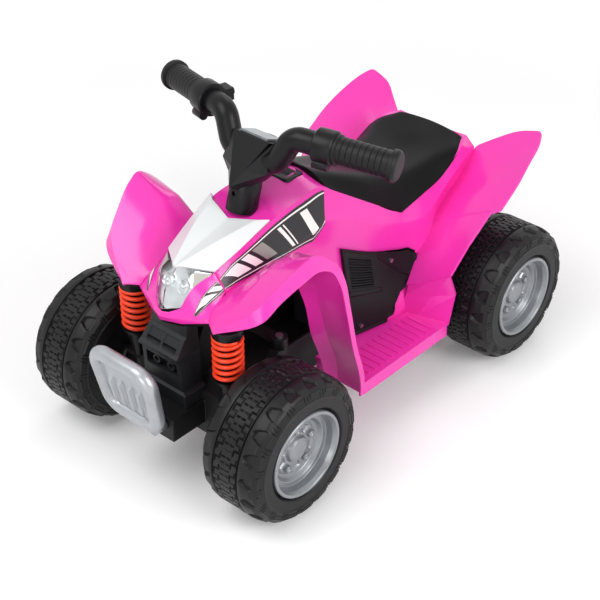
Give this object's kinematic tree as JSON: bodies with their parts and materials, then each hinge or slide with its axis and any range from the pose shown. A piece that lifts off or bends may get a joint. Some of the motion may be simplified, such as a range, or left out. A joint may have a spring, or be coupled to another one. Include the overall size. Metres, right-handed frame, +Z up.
{
  "type": "kids quad bike",
  "caption": "Battery ride-on quad bike for a small child: saddle seat over a moulded body, handlebar steering the front wheels, geared rear wheel, sprung-look struts, hoop bumper and footwells.",
  "frame": {"origin": "middle of the footprint, on the ground under the tyres", "axes": "+Z up, -Y forward, +X towards the rider's left hand"},
  "size_m": [0.401, 0.673, 0.4418],
  "materials": {
    "pink_panel": "gloss moulded",
    "footwell_pink": "gloss moulded",
    "white_hood": "gloss moulded",
    "black_plastic": "satin moulded",
    "tub_black": "matte moulded",
    "engine_black": "satin moulded",
    "bar_black": "satin",
    "grip_black": "matte",
    "seat_black": "fine grained",
    "tyre_black": "matte moulded",
    "silver_rim": "silver coated",
    "silver_bumper": "silver coated",
    "spring_orange": "gloss coated",
    "lens_clear": "clear moulded",
    "reflector_silver": "bright",
    "grille_grey": "satin moulded",
    "steel": "plain",
    "display_grey": "printed",
    "battery_grey": "matte",
    "motor_can": "plain",
    "gear_white": "matte",
    "button_grey": "satin"
  },
  "bodies": {
    "frame": {"chassis_tub": "tub_black", "front_subframe": "tub_black", "rear_axle": "steel", "rear_axle_nuts": "steel", "kingpins": "steel", "front_grille": "grille_grey", "front_bumper": "silver_bumper", "main_cowl": "pink_panel", "nose_panel": "pink_panel", "hood_cover": "white_hood", "headlight_lens": "lens_clear", "headlight_reflector": "reflector_silver", "front_fender_left": "pink_panel", "front_fender_right": "pink_panel", "footwell_left": "footwell_pink", "footwell_right": "footwell_pink", "rear_fender_left": "pink_panel", "rear_fender_right": "pink_panel", "engine_panel_left": "engine_black", "engine_panel_right": "engine_black", "seat": "seat_black", "strut_left": "black_plastic", "strut_right": "black_plastic", "spring_left": "spring_orange", "spring_right": "spring_orange", "battery": "battery_grey", "motor": "motor_can", "gearbox_case": "tub_black", "switch_bezel": "black_plastic", "panel_screws": "steel"},
    "steering": {"steering_column": "steel", "steering_crank": "steel", "handlebar_neck": "black_plastic", "neck_screw": "steel", "handlebar": "bar_black", "dash_pod": "black_plastic", "dash_display": "display_grey", "grip_left": "grip_black", "grip_right": "grip_black", "control_clamp_left": "black_plastic", "throttle_housing": "black_plastic"},
    "throttle": {"throttle_button": "button_grey"},
    "switch": {"power_switch": "button_grey"},
    "knuckle_left": {"knuckle_left": "black_plastic", "stub_axle_left": "steel"},
    "knuckle_right": {"knuckle_right": "black_plastic", "stub_axle_right": "steel"},
    "track_rod": {"tie_rod": "black_plastic", "tie_rod_screws": "steel"},
    "wheel_front_left": {"tyre_front_left": "tyre_black", "rim_front_left": "silver_rim"},
    "wheel_front_right": {"tyre_front_right": "tyre_black", "rim_front_right": "silver_rim"},
    "wheel_rear_left": {"tyre_rear_left": "tyre_black", "rim_rear_left": "silver_rim"},
    "wheel_rear_right": {"tyre_rear_right": "tyre_black", "rim_rear_right": "silver_rim", "drive_gear": "gear_white"},
    "idler": {"idler_gear": "gear_white"},
    "motor_shaft": {"motor_pinion": "gear_white"}
  },
  "joints": [
    {"name": "steering_turn", "type": "hinge", "parent": "frame", "child": "steering", "pos_m": [0, -0.109, 0.335], "axis": [0, 0.2588, 0.9659], "range_deg": [-30, 30]},
    {"name": "knuckle_left_turn", "type": "hinge", "parent": "frame", "child": "knuckle_left", "pos_m": [0.088, -0.215, 0.0975], "axis": [0, 0, 1], "range_deg": [-16.5, 16.5]},
    {"name": "knuckle_right_turn", "type": "hinge", "parent": "frame", "child": "knuckle_right", "pos_m": [-0.088, -0.215, 0.0975], "axis": [0, 0, 1], "range_deg": [-16.5, 16.5]},
    {"name": "track_rod_turn", "type": "hinge", "parent": "knuckle_left", "child": "track_rod", "pos_m": [0.088, -0.143, 0.171], "axis": [0, 0, 1], "range_deg": [-16.5, 16.5]},
    {"name": "wheel_front_left_spin", "type": "hinge", "parent": "knuckle_left", "child": "wheel_front_left", "pos_m": [0.154, -0.215, 0.0975], "axis": [1, 0, 0], "continuous": true},
    {"name": "wheel_front_right_spin", "type": "hinge", "parent": "knuckle_right", "child": "wheel_front_right", "pos_m": [-0.154, -0.215, 0.0975], "axis": [1, 0, 0], "continuous": true},
    {"name": "wheel_rear_left_spin", "type": "hinge", "parent": "frame", "child": "wheel_rear_left", "pos_m": [0.154, 0.239, 0.0975], "axis": [1, 0, 0], "continuous": true},
    {"name": "wheel_rear_right_spin", "type": "hinge", "parent": "frame", "child": "wheel_rear_right", "pos_m": [-0.154, 0.239, 0.0975], "axis": [1, 0, 0], "continuous": true},
    {"name": "idler_spin", "type": "hinge", "parent": "frame", "child": "idler", "pos_m": [-0.04, 0.20652, 0.11625], "axis": [1, 0, 0], "continuous": true},
    {"name": "motor_spin", "type": "hinge", "parent": "frame", "child": "motor_shaft", "pos_m": [-0.03, 0.16902, 0.11625], "axis": [1, 0, 0], "continuous": true},
    {"name": "throttle_press", "type": "slide", "parent": "steering", "child": "throttle", "axis": [-0.2707, -0.9627, 0], "range_m": [0, 0.003], "stiffness_N_per_m": 250, "springref_m": -0.002},
    {"name": "switch_rock", "type": "hinge", "parent": "frame", "child": "switch", "pos_m": [0, -0.035, 0.331], "axis": [1, 0, 0], "range_deg": [-16, 0]}
  ],
  "couplings": [
    {"joint": "knuckle_left_turn", "follows": "steering_turn", "ratio": 0.53767},
    {"joint": "knuckle_right_turn", "follows": "steering_turn", "ratio": 0.53767},
    {"joint": "track_rod_turn", "follows": "steering_turn", "ratio": -0.53767},
    {"joint": "idler_spin", "follows": "wheel_rear_right_spin", "ratio": -3},
    {"joint": "motor_spin", "follows": "wheel_rear_right_spin", "ratio": 9}
  ]
}
